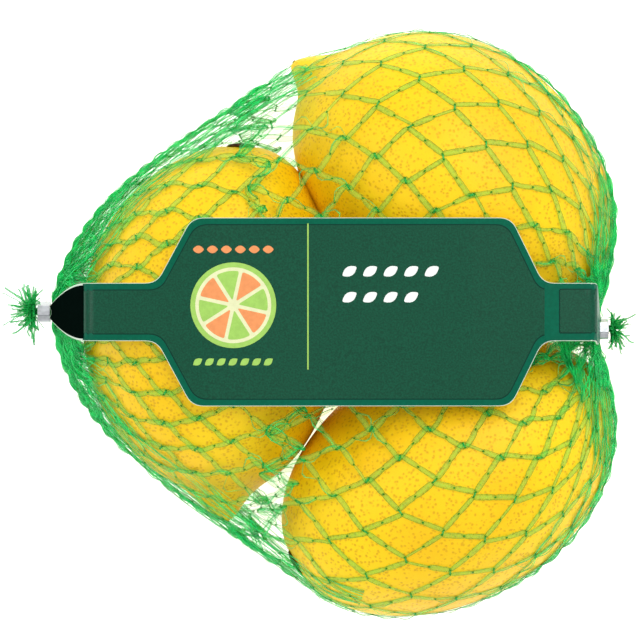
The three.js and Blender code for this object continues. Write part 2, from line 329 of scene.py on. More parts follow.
# Lemons: the middle in plan, the way the blossom tip points, and the body's sizes.
# bend leans the blossom end to the left of that way, and stem moves the other end to the
# same side and up.
LEMONS = {
    "lemon_left": {"x": -24.9, "y": 0.3, "turn": -91.4, "half_length": 40.4, "radius": 30.0,
                   "tip": 6.5, "tip_width": 5.8, "bend": 2.6, "stem": (5.5, 2.6), "seed": 11},
    "lemon_back": {"x": 31.6, "y": 32.1, "turn": 136.6, "half_length": 40.7, "radius": 30.8,
                   "tip": 5.8, "tip_width": 4.8, "bend": 4.0, "stem": (0.0, -2.0), "seed": 12},
    "lemon_front": {"x": 30.1, "y": -36.5, "turn": 29.2, "half_length": 41.4, "radius": 28.8,
                    "tip": 0.8, "tip_width": 7.0, "bend": 2.2, "stem": (0.5, 3.0), "seed": 13},
}
BEND_POWER = 3
LEMON_ROWS = 150
LEMON_COLUMNS = 210
OUTLINE_SAMPLES = 4000
LOBES = (2, 3, 5, 7)
LOBE_SHARE = 0.008
LOBE_TWIST = 0.8
MIDDLE_LOBES = 0.25
END_POINTS = (0.05, -0.02)
STEM_DIMPLE = 1.0
STEM_DIMPLE_WIDTH = 3.4
LOWEST_PEEL = 0.3


def lemon_profile(spec, rows):
    """Places along the axis and radii of a lemon, evenly spaced along its outline."""
    angle = np.linspace(0, np.pi, OUTLINE_SAMPLES)
    out = spec["radius"] * np.sin(angle)
    front = np.cos(angle) > 0
    nipple = spec["tip"] * np.exp(-((out / spec["tip_width"]) ** 2)) * front
    dimple = STEM_DIMPLE * np.exp(-((out / STEM_DIMPLE_WIDTH) ** 2)) * ~front
    along = spec["half_length"] * np.cos(angle) + nipple + dimple
    length = np.concatenate([[0], np.cumsum(np.hypot(np.diff(along), np.diff(out)))])
    steps = np.linspace(0, length[-1], rows + 2)[1:-1]
    return np.interp(steps, length, along), np.interp(steps, length, out)


def lemon_axes(spec):
    """The way a lemon's blossom tip points, and the way to the left of that."""
    heading = np.radians(spec["turn"])
    axis = np.array([np.cos(heading), np.sin(heading), 0.0])
    across = np.array([-np.sin(heading), np.cos(heading), 0.0])
    return axis, across


def lemon_line(spec, along):
    """The lemon's bent middle line at distances along its axis."""
    axis, across = lemon_axes(spec)
    base = np.array([spec["x"], spec["y"], 0.0]) + SHIFT
    base[2] = spec["radius"] + NET_THICKNESS - REST_FLAT_DEPTH
    share = np.asarray(along) / spec["half_length"]
    ahead = np.clip(share, 0, None)[..., None] ** BEND_POWER
    behind = np.clip(-share, 0, None)[..., None] ** BEND_POWER
    stem_side, stem_up = spec["stem"]
    lean = ahead * spec["bend"] * across + behind * (stem_side * across + stem_up * UP)
    return base + np.asarray(along)[..., None] * axis + lean


def make_lemon(name, spec):
    """One lemon; gives back its search tree, to keep the net off it."""
    rng = np.random.default_rng(spec["seed"])
    along, out = lemon_profile(spec, LEMON_ROWS)
    theta = full_turn(LEMON_COLUMNS)
    _, across = lemon_axes(spec)
    spoke = np.cos(theta)[:, None] * across + np.sin(theta)[:, None] * UP
    share = along / spec["half_length"]
    lobes = np.zeros((LEMON_ROWS, LEMON_COLUMNS))
    for count in LOBES:
        phase = rng.uniform(0, 2 * np.pi)
        twist = rng.uniform(-LOBE_TWIST, LOBE_TWIST)
        strength = MIDDLE_LOBES + (1 - MIDDLE_LOBES) * np.abs(share)[:, None] ** 2
        lobes += strength * np.cos(count * theta[None, :] + phase + twist * share[:, None]) / count
    radius = out[:, None] * (1 + LOBE_SHARE * lobes)
    verts = lemon_line(spec, along)[:, None] + radius[:, :, None] * spoke[None]
    ends = lemon_line(spec, along[[0, -1]] + END_POINTS)
    verts = np.vstack([verts.reshape(-1, 3), ends])
    verts[:, 2] = np.maximum(verts[:, 2], LOWEST_PEEL)
    row = np.arange(LEMON_ROWS - 1)[:, None] * LEMON_COLUMNS
    here = np.arange(LEMON_COLUMNS)[None, :]
    after = (here + 1) % LEMON_COLUMNS
    below = row + LEMON_COLUMNS
    quads = np.stack([row + here, below + here, below + after, row + after], -1).reshape(-1, 4)
    tip, stem = len(verts) - 2, len(verts) - 1
    near = np.stack([np.full(LEMON_COLUMNS, tip), here[0], after[0]], -1)
    last = (LEMON_ROWS - 1) * LEMON_COLUMNS
    far = np.stack([np.full(LEMON_COLUMNS, stem), last + after[0], last + here[0]], -1)
    fans = np.concatenate([near, far])
    make_piece(name, verts, [quads, fans], PEEL, "peel", "net_bag")
    return BVHTree.FromPolygons([Vector(v) for v in verts], quads.tolist())


LEMON_TREES = [make_lemon(name, spec) for name, spec in LEMONS.items()]

SCAR_RINGS = 7
SCAR_SPOKES = 40
SCAR_PUCKERS = 5
PUCKER_DEPTH = 0.12
SCAR_NOISE = 0.05
TIP_SCAR = {"radius": 0.7, "height": 0.3, "lobes": 0.1}
STEM_SCAR = {"radius": 3.0, "height": 1.0, "lobes": 0.16}
STEM_SCAR_RISE = 3.5
STEM_SCAR_REACH = 2
HEADING_ROWS = [20, -20]


def scar(place, normal, radius, height, lobes, rng):
    """A small puckered button on the peel: vertices and faces of a closed lens."""
    side = unit(np.cross(normal, UP + 0.01))
    other = np.cross(normal, side)
    theta = full_turn(SCAR_SPOKES)
    rim = 1 + lobes * np.cos(SCAR_PUCKERS * theta + rng.uniform(0, 6))
    rim = rim + rng.normal(0, SCAR_NOISE, SCAR_SPOKES)
    verts = []
    for sign in (1, -1):
        for ring in range(1, SCAR_RINGS + 1):
            share = ring / SCAR_RINGS
            swell = height * (1 - share ** 2) * (0.6 + 0.4 * share) * sign
            pucker = PUCKER_DEPTH * height * np.cos(SCAR_PUCKERS * theta) * share * (1 - share)
            reach = radius * share * rim
            spokes = np.cos(theta)[:, None] * side + np.sin(theta)[:, None] * other
            verts.append(place + reach[:, None] * spokes + (swell + pucker)[:, None] * normal)
    verts.append((place + 0.45 * height * normal)[None])
    verts.append((place - 0.6 * height * normal)[None])
    faces, caps = [], []
    here = np.arange(SCAR_SPOKES)
    after = (here + 1) % SCAR_SPOKES
    for half in (0, 1):
        start = half * SCAR_RINGS * SCAR_SPOKES
        for ring in range(SCAR_RINGS - 1):
            a = start + ring * SCAR_SPOKES
            b = a + SCAR_SPOKES
            quad = [a + here, b + here, b + after, a + after]
            faces.append(np.stack(quad if half == 0 else quad[::-1], -1))
        centre = np.full(SCAR_SPOKES, 2 * SCAR_RINGS * SCAR_SPOKES + half)
        fan = [centre, start + here, start + after]
        caps.append(np.stack(fan if half == 0 else fan[::-1], -1))
    top = (SCAR_RINGS - 1) * SCAR_SPOKES
    under = top + SCAR_RINGS * SCAR_SPOKES
    faces.append(np.stack([top + after, top + here, under + here, under + after], -1)[:, ::-1])
    return np.vstack(verts), np.concatenate(faces), np.concatenate(caps)


def make_scars():
    """A brown scar where each stem was, and a small one on each blossom tip."""
    rng = np.random.default_rng(21)
    for (name, spec), tree in zip(LEMONS.items(), LEMON_TREES):
        along, _ = lemon_profile(spec, LEMON_ROWS)
        ends = lemon_line(spec, along[[0, -1]])
        before = lemon_line(spec, along[HEADING_ROWS])
        way = unit(ends - before)
        near_stem = ends[1] + STEM_SCAR_RISE * UP + STEM_SCAR_REACH * way[1]
        stem_place, stem_way, _, _ = tree.find_nearest(Vector(near_stem))
        for kind, place, normal, sizes in (
            ("tip_scar", ends[0], way[0], TIP_SCAR),
            ("stem_scar", np.array(stem_place), np.array(stem_way), STEM_SCAR),
        ):
            verts, quads, fans = scar(place, normal, rng=rng, **sizes)
            make_piece(f"{name}_{kind}", verts, [quads, fans], STEM, "stem")


make_scars()

# Net: chains of stitches from neck to neck. Neighbouring chains are joined at every second
# stitch, to the one side and the other in turn, which opens the net into diamonds.
CHAINS = 56
STITCHES = 44
STITCH = 5.0
JOIN = 1.25
NET_SWEEPS = 420
START_HALF_WIDTH = 76.0
START_HALF_HEIGHT = 46.0
START_SWELL_POWER = 0.6
START_PULL = 0.38
START_JITTER = 0.5
STITCH_GIVE = 0.35
JOIN_GIVE = 0.8
STRAIGHTENING = 0.2
EVENING = 0.06
SKIN_DEPTH = 0.15
PEEL_GAP = 0.22
PEEL_REACH = 12
LOWEST_THREAD = 0.12


def model_skin(node):
    """The skin of one of the model's nodes, to lay things on."""
    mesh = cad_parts[node].data
    mesh.calc_loop_triangles()
    points = [Vector(np.array(v.co) / MM) for v in mesh.vertices]
    return BVHTree.FromPolygons(points, [tuple(t.vertices) for t in mesh.loop_triangles])


def on_skin(tree, points):
    """Nearest places on the skin, and the way out there."""
    found = np.array([tree.find_nearest(Vector(point))[:2] for point in points])
    return found[:, 0], found[:, 1]


def clear_of_peel(points):
    """Points moved out of the lemons, to just above the peel and the table."""
    moved = points.reshape(-1, 3).copy()
    for tree in LEMON_TREES:
        for n, point in enumerate(moved):
            place, normal, _, distance = tree.find_nearest(Vector(point))
            if distance < PEEL_REACH and (Vector(point) - place).dot(normal) < PEEL_GAP:
                moved[n] = place + normal * PEEL_GAP
    moved[:, 2] = np.maximum(moved[:, 2], LOWEST_THREAD)
    return moved.reshape(points.shape)


def start_chains(rng):
    """Chains laid over a wide bag, already zigzagging from join to join."""
    step = 2 * np.pi / CHAINS
    left = LEFT_CLIP + SHIFT + [CLIP_LENGTH / 2 + NECK_SLACK, 0, 0]
    right = RIGHT_CLIP + SHIFT - [CLIP_LENGTH / 2 + NECK_SLACK, 0, 0]
    chain = np.arange(CHAINS)[:, None]
    row = np.arange(STITCHES + 1)[None, :]
    pull = np.where(chain % 2 == 0, START_PULL, -START_PULL) * np.cos(row * np.pi / 2)
    angle = (chain + 0.5 + pull) * step
    share = row / STITCHES
    swell = np.sin(np.pi * share) ** START_SWELL_POWER
    centre = left + (right - left) * share[..., None]
    width = NECK_RADIUS + START_HALF_WIDTH * swell
    height = NECK_RADIUS + START_HALF_HEIGHT * swell
    ring = np.stack([np.zeros_like(angle), width * np.cos(angle), height * np.sin(angle)], -1)
    jitter = rng.normal(0, START_JITTER, ring.shape) * swell[..., None]
    return centre + ring + jitter


def keep_length(a, b, rest, give):
    """Draws two sets of points to a rest distance; give is how stiff it is when too short."""
    gap = b - a
    length = np.maximum(np.linalg.norm(gap, axis=-1, keepdims=True), 1e-6)
    stiff = np.where(length > rest, 1.0, give)
    change = gap * (stiff * (length - rest) / length) / 2
    a += change
    b -= change


def draw_in_net():
    """Chains of knots drawn tight over the lemons: their places and the way out at each."""
    tree = model_skin("net_bag")
    knots = start_chains(np.random.default_rng(5))
    pinned = knots[:, [0, -1]].copy()
    for sweep in range(NET_SWEEPS):
        for first in (0, 1):
            keep_length(knots[:, first:-1:2], knots[:, first + 1::2], STITCH, STITCH_GIVE)
        between = (knots[:, :-2:2] + knots[:, 2::2]) / 2
        knots[:, 1:-1:2] += STRAIGHTENING * (between - knots[:, 1:-1:2])
        for start, roll in ((0, 0), (2, 1)):
            rows = slice(start, None, 4)
            turned = np.roll(knots[:, rows], -roll, axis=0)
            a, b = turned[0::2], turned[1::2]
            keep_length(a, b, JOIN, JOIN_GIVE)
            middle = (a + b) / 2
            even = (np.roll(middle, 1, axis=0) + np.roll(middle, -1, axis=0)) / 2 - middle
            a += EVENING * even
            b += EVENING * even
            knots[:, rows] = np.roll(turned, roll, axis=0)
        knots[:, [0, -1]] = pinned
        if sweep % 2 == 0 or sweep == NET_SWEEPS - 1:
            flat = knots[:, 1:-1].reshape(-1, 3)
            places, normals = on_skin(tree, flat)
            flat = places - SKIN_DEPTH * normals
            knots[:, 1:-1] = flat.reshape(CHAINS, STITCHES - 1, 3)
    _, normals = on_skin(tree, knots.reshape(-1, 3))
    return clear_of_peel(knots), normals.reshape(knots.shape)


STITCH_SHAPE = np.array([0.75, 1.0, 1.0, 1.0, 1.0, 0.75])
FILM_HALF_WIDTH = 0.6
FILM_HALF_DEPTH = 0.045
FOLD_HALF_DEPTH = 2 * FILM_HALF_DEPTH
EDGE_RADIUS = 0.08
SLACK_SHARE = 0.3
MOST_SWING = 1.6
TWISTED_SHARE = 0.12
TWISTED_WIDTH = 0.5
FULLNESS = (0.3, 0.85, 1.0)
FULL_ROOM = 1.2
FULLNESS_SPREAD = (0.85, 1.15)
KNOT_RADIUS = 0.27
KNOT_STRETCH = 1.1
KNOT_FLATNESS = 0.7
KNOT_STOPS = np.array([-1.0, 0.0, 1.0])
KNOT_GIRTH = np.array([0.35, 1.0, 0.35])
JOIN_RADIUS = 0.14
JOIN_WIDENING = 1.6
NECK_REACH = 9.0
BELT_COPIES = (2.0, 8.0)
BELT_WIDTHS = (0.2, 0.5)
FREE_COPIES = 3.5
BELT_STEPS = (0, 2, 3, 5)
BELT_SLIDE = 1.1
BELT_LIFT = (0.05, 0.9)
STEEP_FALL = (1.6, 2.4)
FLANK_MIDDLE = -2
FLANK_START = 40
FLANK_RUN = 12
FREE_START = 0.8
FREE_RUN = 1.5
FREE_LEAST = 0.25
KNOT_SLIDE = 0.2


def make_stitches(knots, normals):
    """Each stitch: a loop of thin film between two knots, with a thread along either edge."""
    a, b = knots[:, :-1].reshape(-1, 3), knots[:, 1:].reshape(-1, 3)
    out_a, out_b = normals[:, :-1].reshape(-1, 3), normals[:, 1:].reshape(-1, 3)
    rng = np.random.default_rng(8)
    share = np.linspace(0, 1, len(STITCH_SHAPE))
    out = unit(out_a[:, None] * (1 - share)[:, None] + out_b[:, None] * share[:, None])
    span = b - a
    length = np.linalg.norm(span, axis=1)
    side = unit(np.cross(out, unit(span)[:, None]))
    slack = np.sqrt(np.clip(STITCH ** 2 - length ** 2, 0, None)) * SLACK_SHARE
    swing = rng.choice([-1.0, 1.0], len(a)) * np.minimum(slack, MOST_SWING)
    hump = np.sin(np.pi * share)
    path = a[:, None] + span[:, None] * share[:, None] + side * (swing[:, None] * hump)[..., None]
    path = clear_of_peel(path)
    side, out = frames_along(path, out)
    gap = np.linalg.norm(np.roll(knots, -1, axis=0) - knots, axis=-1)
    room = np.minimum(gap, np.roll(gap, 1, axis=0))[:, :-1].ravel()
    twisted = np.where(rng.uniform(size=len(a)) < TWISTED_SHARE, TWISTED_WIDTH, 1.0)
    necks = np.stack([knots[0, 0], knots[0, -1]])
    away = np.linalg.norm((a + b)[:, None] / 2 - necks, axis=-1).min(1)
    least = np.clip(away / NECK_REACH, *FULLNESS[:2])
    fullness = np.clip(room / FULL_ROOM, least, FULLNESS[2])
    fullness = fullness * rng.uniform(*FULLNESS_SPREAD, len(a)) * twisted
    width = FILM_HALF_WIDTH * fullness[:, None] * STITCH_SHAPE
    make_tubes("net_film", FILM, path, side, out, width, FILM_HALF_DEPTH, 4)
    edges = np.concatenate([path + side * width[..., None], path - side * width[..., None]])
    frames = [np.concatenate([v, v]) for v in (side, out)]
    make_tubes("net_threads", EDGE, edges, *frames, EDGE_RADIUS, EDGE_RADIUS, 3)
    make_belt(path, side, out, width)


def make_belt(path, side, out, width):
    """Slack folds of the net, gathered round its flanks and towards the clips."""
    rng = np.random.default_rng(9)
    path, side, out, width = (v[:, BELT_STEPS] for v in (path, side, out, width))
    middle = path.mean(1)
    steep = np.clip(STEEP_FALL[0] - STEEP_FALL[1] * np.abs(out.mean(1)[:, 2]), 0, 1)
    off_middle = np.abs(middle[:, 0] - SHIFT[0] - FLANK_MIDDLE)
    flank = np.clip((off_middle - FLANK_START) / FLANK_RUN, 0, 1)
    off_peel = [min(tree.find_nearest(Vector(m))[3] for tree in LEMON_TREES) for m in middle]
    free = np.clip((np.array(off_peel) - FREE_START) / FREE_RUN, 0, 1)
    crowding = np.maximum(steep, free * flank)
    few, many = BELT_COPIES
    wanted = (few + (many - few) * flank) * crowding + FREE_COPIES * free * (FREE_LEAST + steep)
    copies = np.floor(wanted + rng.uniform(size=len(path))).astype(int)
    picked = np.repeat(np.arange(len(path)), copies)
    share = np.linspace(0, 1, path.shape[1])
    hump = np.sin(np.pi * share)
    slide = rng.normal(0, BELT_SLIDE, (len(picked), 1)) * (KNOT_SLIDE + hump)
    lift = rng.uniform(*BELT_LIFT, (len(picked), 1)) * hump
    folds = path[picked] + side[picked] * slide[..., None] + out[picked] * lift[..., None]
    folds = clear_of_peel(folds)
    half = width[picked] * rng.uniform(*BELT_WIDTHS, (len(picked), 1))
    make_tubes("net_belt", FOLDS, folds, side[picked], out[picked], half, FOLD_HALF_DEPTH, 3)


def make_knots(knots, normals):
    """A small lump at every knot, and a short thread wherever two chains are joined."""
    inner = knots[:, 1:-1].reshape(-1, 3)
    out = normals[:, 1:-1].reshape(-1, 3)
    along = unit((knots[:, 2:] - knots[:, :-2]).reshape(-1, 3))
    side = unit(np.cross(out, along))
    path = inner[:, None] + along[:, None] * (KNOT_STOPS * KNOT_RADIUS * KNOT_STRETCH)[:, None]
    count = (len(inner), len(KNOT_STOPS), 3)
    frames = [np.broadcast_to(v[:, None], count) for v in (side, out)]
    radius = KNOT_GIRTH * KNOT_RADIUS
    make_tubes("net_knots", KNOT, path, *frames, radius, radius * KNOT_FLATNESS, 5)
    joins = []
    for start, roll in ((4, 0), (2, 1)):
        turned, outward = (np.roll(v, -roll, axis=0)[:, start:-1:4] for v in (knots, normals))
        joins.append([v.reshape(-1, 3) for v in (turned[0::2], turned[1::2], outward[0::2])])
    a, b, out = (np.concatenate(v) for v in zip(*joins))
    share = np.linspace(0, 1, 3)[:, None]
    path = a[:, None] + (b - a)[:, None] * share
    side, out = frames_along(path, np.broadcast_to(out[:, None], path.shape))
    make_tubes("net_joins", STRAND, path, side, out, JOIN_RADIUS * JOIN_WIDENING, JOIN_RADIUS, 4)


# Long folds along the outline, from the clips and across the gaps: the clip where they start,
# how many there are, and the places in plan that they follow.
GATHERS = (
    (LEFT_CLIP, 210, ((-61.5, 2.5), (-57.0, 17.0), (-46.0, 31.0), (-25.0, 46.5), (-4.0, 60.5))),
    (LEFT_CLIP, 230, ((-61.5, 1.0), (-57.0, -12.0), (-46.0, -28.0), (-27.0, -45.0),
                      (-4.6, -65.0), (8.0, -68.0))),
    (RIGHT_CLIP, 80, ((64.5, -2.0), (66.5, 12.0), (67.0, 34.0))),
    (RIGHT_CLIP, 80, ((64.5, -3.0), (66.0, -14.0), (67.5, -34.0))),
)
GATHER_STEPS = 11
GATHER_LENGTHS = (10.0, 30.0)
GATHER_HEIGHTS = (10.0, 50.0)
GATHER_WIDTHS = (0.1, 0.34)
GATHER_DEPTHS = (-0.5, 0.6)
GATHER_BEFORE = 8.0
GATHER_DRIFT = 4.0
GATHER_FAN = 16.0
GATHER_END_WIDTH = 0.35


def make_gathers():
    """Folds of slack net, laid on the skin and spreading in height away from the clips."""
    rng = np.random.default_rng(17)
    share = np.linspace(0, 1, GATHER_STEPS)
    paths = []
    for clip, count, line in GATHERS:
        line = np.array(line)
        run = run_along(line)
        length = rng.uniform(*GATHER_LENGTHS, (count, 1))
        start = rng.uniform(-GATHER_BEFORE, run[-1] - GATHER_LENGTHS[0], (count, 1))
        along = np.clip(start + length * share, 0, run[-1])
        height = rng.uniform(*GATHER_HEIGHTS, (count, 1))
        height = height + rng.normal(0, GATHER_DRIFT, (count, 1)) * share
        height = clip[2] + (height - clip[2]) * np.clip(along / GATHER_FAN, 0, 1)
        plan = [np.interp(along, run, line[:, k]) for k in (0, 1)]
        paths.append(np.stack([*plan, height], -1))
    paths = np.concatenate(paths) + SHIFT
    places, normals = on_skin(model_skin("net_bag"), paths.reshape(-1, 3))
    depth = rng.uniform(*GATHER_DEPTHS, len(paths)).repeat(GATHER_STEPS)[:, None]
    paths = (places - depth * normals).reshape(paths.shape)
    paths[:, 1:-1] = (paths[:, :-2] + 2 * paths[:, 1:-1] + paths[:, 2:]) / 4
    paths = clear_of_peel(paths)
    side, out = frames_along(paths, normals.reshape(paths.shape))
    taper = GATHER_END_WIDTH + (1 - GATHER_END_WIDTH) * np.sin(np.pi * share)
    half = rng.uniform(*GATHER_WIDTHS, (len(paths), 1)) * taper
    make_tubes("net_gathers", FOLDS, paths, side, out, half, FOLD_HALF_DEPTH, 3)


net_knots, net_normals = draw_in_net()
make_stitches(net_knots, net_normals)
make_knots(net_knots, net_normals)
make_gathers()

# Cut ends: every chain runs on through its clip and ends in a curling loose strand.
STRANDS = 190
STRAND_STEPS = 12
STRAND_HALF_WIDTH = 0.2
STRAND_WIDTHS = (0.5, 1.2)
STRAND_SPREAD = (0.15, 0.95)
STRAND_LENGTHS = {"a": (0.7, 1.0, 1.3), "p": (0.4, 0.4, 0.2)}
STRAND_PUSH = (0.2, 0.9)
STRAND_BEND = (0.1, 0.4)
STRAND_CURL_NOISE = 0.35
STRAND_SWIRL = 0.36
STRAND_WOBBLE = 0.3
CLIP_PINCH = (0.8, 0.5)
CLIP_CLEARANCE = 1.5 * CLIP_HALF_SIZE
MOST_BACK = 4


def make_strands(name, clip, direction, seed, lengths, lean):
    """Loose strands out of a clip; lean is the way in which most of them curl."""
    rng = np.random.default_rng(seed)
    turn = rng.uniform(0, 2 * np.pi, STRANDS)
    spread = rng.uniform(*STRAND_SPREAD, STRANDS)
    ring = np.stack([np.zeros(STRANDS), np.cos(turn), np.sin(turn)], -1) * spread[:, None]
    outward = np.array([direction, 0.0, 0.0])
    half = CLIP_LENGTH / 2 + NECK_SLACK
    middle = clip + SHIFT
    length = rng.uniform(*lengths, STRANDS) * rng.choice(size=STRANDS, **STRAND_LENGTHS)
    points = [middle - half * outward + ring, middle + half * outward + ring * CLIP_PINCH[0]]
    heading = unit(outward * rng.uniform(*STRAND_PUSH, (STRANDS, 1)) + unit(ring))
    curl = ring + np.array(lean) * rng.uniform(0, 1, (STRANDS, 1))
    curl = unit(curl + rng.normal(0, STRAND_CURL_NOISE, ring.shape))
    steps = STRAND_STEPS - len(points)
    bend = rng.uniform(*STRAND_BEND, STRANDS)[:, None]
    swirl = rng.normal(0, STRAND_SWIRL, (STRANDS, 3))
    for _ in range(steps):
        wobble = rng.normal(0, STRAND_WOBBLE, ring.shape)
        heading = unit(heading + bend * curl + swirl + wobble)
        step = points[-1] + heading * (length / steps)[:, None]
        past = (step - points[1]) @ outward
        off_axis = np.linalg.norm((step - middle)[:, 1:], axis=1)
        room = np.clip(off_axis - CLIP_CLEARANCE, 0, MOST_BACK)
        points.append(step + np.maximum(-past - room, 0)[:, None] * outward)
    paths = np.stack(points, 1)
    out = np.broadcast_to(unit(np.cross(curl, outward + 0.01))[:, None], paths.shape)
    side, out = frames_along(paths, out)
    taper = np.ones(STRAND_STEPS)
    taper[:2] = CLIP_PINCH[1]
    width = STRAND_HALF_WIDTH * rng.uniform(*STRAND_WIDTHS, STRANDS)[:, None] * taper
    make_tubes(f"{name}_film", STRAND, paths, side, out, width, FILM_HALF_DEPTH, 4)
    edges = paths + side * width[..., None]
    make_tubes(f"{name}_threads", STRAND, edges, side, out, EDGE_RADIUS, EDGE_RADIUS, 3)


make_strands("left_end", LEFT_CLIP, -1, 31, (3.0, 7.4), (0.0, 0.5, 0.1))
make_strands("right_end", RIGHT_CLIP, 1, 32, (2.4, 5.6), (0.0, 0.0, 0.1))

# Band: a stiff printed strip, with the same plan and the same line from the side as the
# model's. A place on it is the distance u along it, which is x where it lies level, and y.
BAND_THICKNESS = 0.4
FILM_THICKNESS = 0.34
BAND_Y = 1.8
BAND_HALF_WIDTH = 21.1
STRIP_HALF_WIDTH = 6.5
BAND_LEFT = -36.6
BAND_LEFT_FULL = -28.7
BAND_RIGHT_FULL = 42.8
BAND_RIGHT = 50.0
LEFT_CREASE = np.array([-52.6, 58.6])
LEFT_ROUND = 2.2
RIGHT_CREASE = np.array([61.9, 59.5])
RIGHT_ROUND = 2.0
LEFT_END = np.array([-62.3, 33.0])
LEFT_END_HALF_WIDTH = 1.3
LEFT_FOLD = 0.5
RIGHT_END = np.array([63.9, 41.4])
RIGHT_END_HALF_WIDTH = 2.2
CORNER_FILLET = 2.6
FOLD_POWER = 1.3
PRINT_STEP = 0.03
PRINT_THICKNESS = 1.5 * PRINT_STEP
SURFACE_GRID = 1.4
BEND_GRID = 0.35
BEND_REACH = 3
GRID_MARGIN = 0.25
SLOPE_STEP = 0.4


def curve(start, corner, end, steps=9):
    """Points on a bend from start to end, drawn towards a corner."""
    t = np.linspace(0, 1, steps)[:, None]
    return (1 - t) ** 2 * start + 2 * t * (1 - t) * corner + t ** 2 * end


def band_line():
    """The band from the side: distance u, x, height and tilt across, from left to right."""
    tree = model_skin("label_band")

    def top(x, y):
        above = Vector((x + SHIFT[0], y + SHIFT[1], 200.0))
        return tree.ray_cast(above, Vector(-UP))[0].z - BAND_THICKNESS / 2

    def slope(x):
        across = STRIP_HALF_WIDTH - 0.5
        return (top(x, BAND_Y + across) - top(x, BAND_Y - across)) / (2 * across)

    level_x = np.arange(LEFT_CREASE[0] + LEFT_ROUND + 0.6, RIGHT_CREASE[0] - RIGHT_ROUND - 0.4, 1.0)
    level_z = np.array([top(x, BAND_Y) for x in level_x])
    level_tilt = np.array([slope(x) for x in level_x])
    level = np.stack([level_x, level_z], -1)
    left_in = LEFT_CREASE + unit(LEFT_END - LEFT_CREASE) * LEFT_ROUND
    left_out = LEFT_CREASE + unit(level[0] - LEFT_CREASE) * LEFT_ROUND
    right_in = RIGHT_CREASE + unit(level[-1] - RIGHT_CREASE) * RIGHT_ROUND
    right_out = RIGHT_CREASE + unit(RIGHT_END - RIGHT_CREASE) * RIGHT_ROUND
    left = np.vstack([LEFT_END, curve(left_in, LEFT_CREASE, left_out)])
    right = np.vstack([curve(right_in, RIGHT_CREASE, right_out), RIGHT_END])
    points = np.vstack([left, level, right])
    run = run_along(points)
    first, last = len(left), len(left) + len(level) - 1
    u = np.concatenate([
        run[:first] - run[first] + level_x[0],
        level_x,
        run[last + 1:] - run[last] + level_x[-1],
    ])
    tilt = np.concatenate([np.zeros(len(left)), level_tilt, np.zeros(len(right))])
    return u, points[:, 0], points[:, 1], tilt


BAND_U, BAND_X, BAND_Z, BAND_TILT = band_line()
LEFT_U, RIGHT_U = BAND_U[0], BAND_U[-1]
LEFT_FLAP = LEFT_CREASE[0] - LEFT_U
RIGHT_FLAP = RIGHT_U - RIGHT_CREASE[0]


def on_band(u, y, lift):
    """Places in the row frame of points on the band, lift above the middle of its film."""
    x = np.interp(u, BAND_U, BAND_X)
    z = np.interp(u, BAND_U, BAND_Z)
    before, after = u - SLOPE_STEP, u + SLOPE_STEP
    run_x = np.interp(after, BAND_U, BAND_X) - np.interp(before, BAND_U, BAND_X)
    run_z = np.interp(after, BAND_U, BAND_Z) - np.interp(before, BAND_U, BAND_Z)
    length = np.maximum(np.hypot(run_x, run_z), 1e-6)
    normal = np.stack([-run_z / length, np.zeros_like(u), run_x / length], -1)
    left = np.clip((LEFT_CREASE[0] - u) / LEFT_FLAP, 0, 1)
    right = np.clip((u - RIGHT_CREASE[0]) / RIGHT_FLAP, 0, 1)
    squeeze = 1 - left ** 2 * (1 - LEFT_END_HALF_WIDTH / STRIP_HALF_WIDTH)
    squeeze = squeeze * (1 - right ** 2 * (1 - RIGHT_END_HALF_WIDTH / STRIP_HALF_WIDTH))
    middle = BAND_Y + right * (RIGHT_CLIP[1] - BAND_Y)
    off = y - BAND_Y
    bulge = 1 - np.abs(off / STRIP_HALF_WIDTH).clip(0, 1) ** FOLD_POWER
    fold = LEFT_FOLD * np.sin(np.pi / 2 * left) * bulge
    rise = np.interp(u, BAND_U, BAND_TILT) * off
    place = np.stack([x, middle + off * squeeze, z + rise], -1) + SHIFT
    return place + normal * (lift - fold)[..., None]


def inset(corners, distance):
    """A counter-clockwise outline with every straight side moved inwards."""
    corners = np.asarray(corners, float)
    way = unit(np.roll(corners, -1, axis=0) - corners)
    start = corners + distance * np.stack([-way[:, 1], way[:, 0]], -1)
    moved = []
    for k in range(len(corners)):
        p, d, q, e = start[k - 1], way[k - 1], start[k], way[k]
        cross = d[0] * e[1] - d[1] * e[0]
        t = ((q[0] - p[0]) * e[1] - (q[1] - p[1]) * e[0]) / cross
        moved.append(p + t * d)
    return np.array(moved)


def rounded(corners, fillet, steps=7):
    """A closed outline with its corners rounded."""
    corners = np.asarray(corners, float)
    points = []
    for before, corner, after in zip(np.roll(corners, 1, 0), corners, np.roll(corners, -1, 0)):
        sides = before - corner, after - corner
        start, end = (corner + unit(s) * min(fillet, np.linalg.norm(s) / 2) for s in sides)
        points.append(curve(start, corner, end, steps))
    return np.vstack(points)


def inside(outline, points, margin):
    """Which points lie inside an outline, and at least a margin from its sides."""
    x, y = points[:, 0], points[:, 1]
    hit = np.zeros(len(points), bool)
    near = np.full(len(points), np.inf)
    for a, b in zip(outline, np.roll(outline, -1, axis=0)):
        crosses = (a[1] > y) != (b[1] > y)
        slope = (b[0] - a[0]) / (b[1] - a[1] if b[1] != a[1] else 1e-9)
        hit ^= crosses & (x < a[0] + slope * (y - a[1]))
        side = b - a
        t = np.clip(((points - a) @ side) / max(side @ side, 1e-12), 0, 1)
        near = np.minimum(near, np.linalg.norm(points - (a + t[:, None] * side), axis=1))
    return hit & (near > margin)


def divided(outline):
    """An outline with its long sides divided, and without double points."""
    points = []
    for a, b in zip(outline, np.roll(outline, -1, axis=0)):
        length = np.linalg.norm(b - a)
        if length > 1e-4:
            parts = int(np.ceil(length / SURFACE_GRID))
            points.append(a + (b - a) * np.arange(0, 1, 1 / parts)[:parts, None])
    return np.vstack(points)


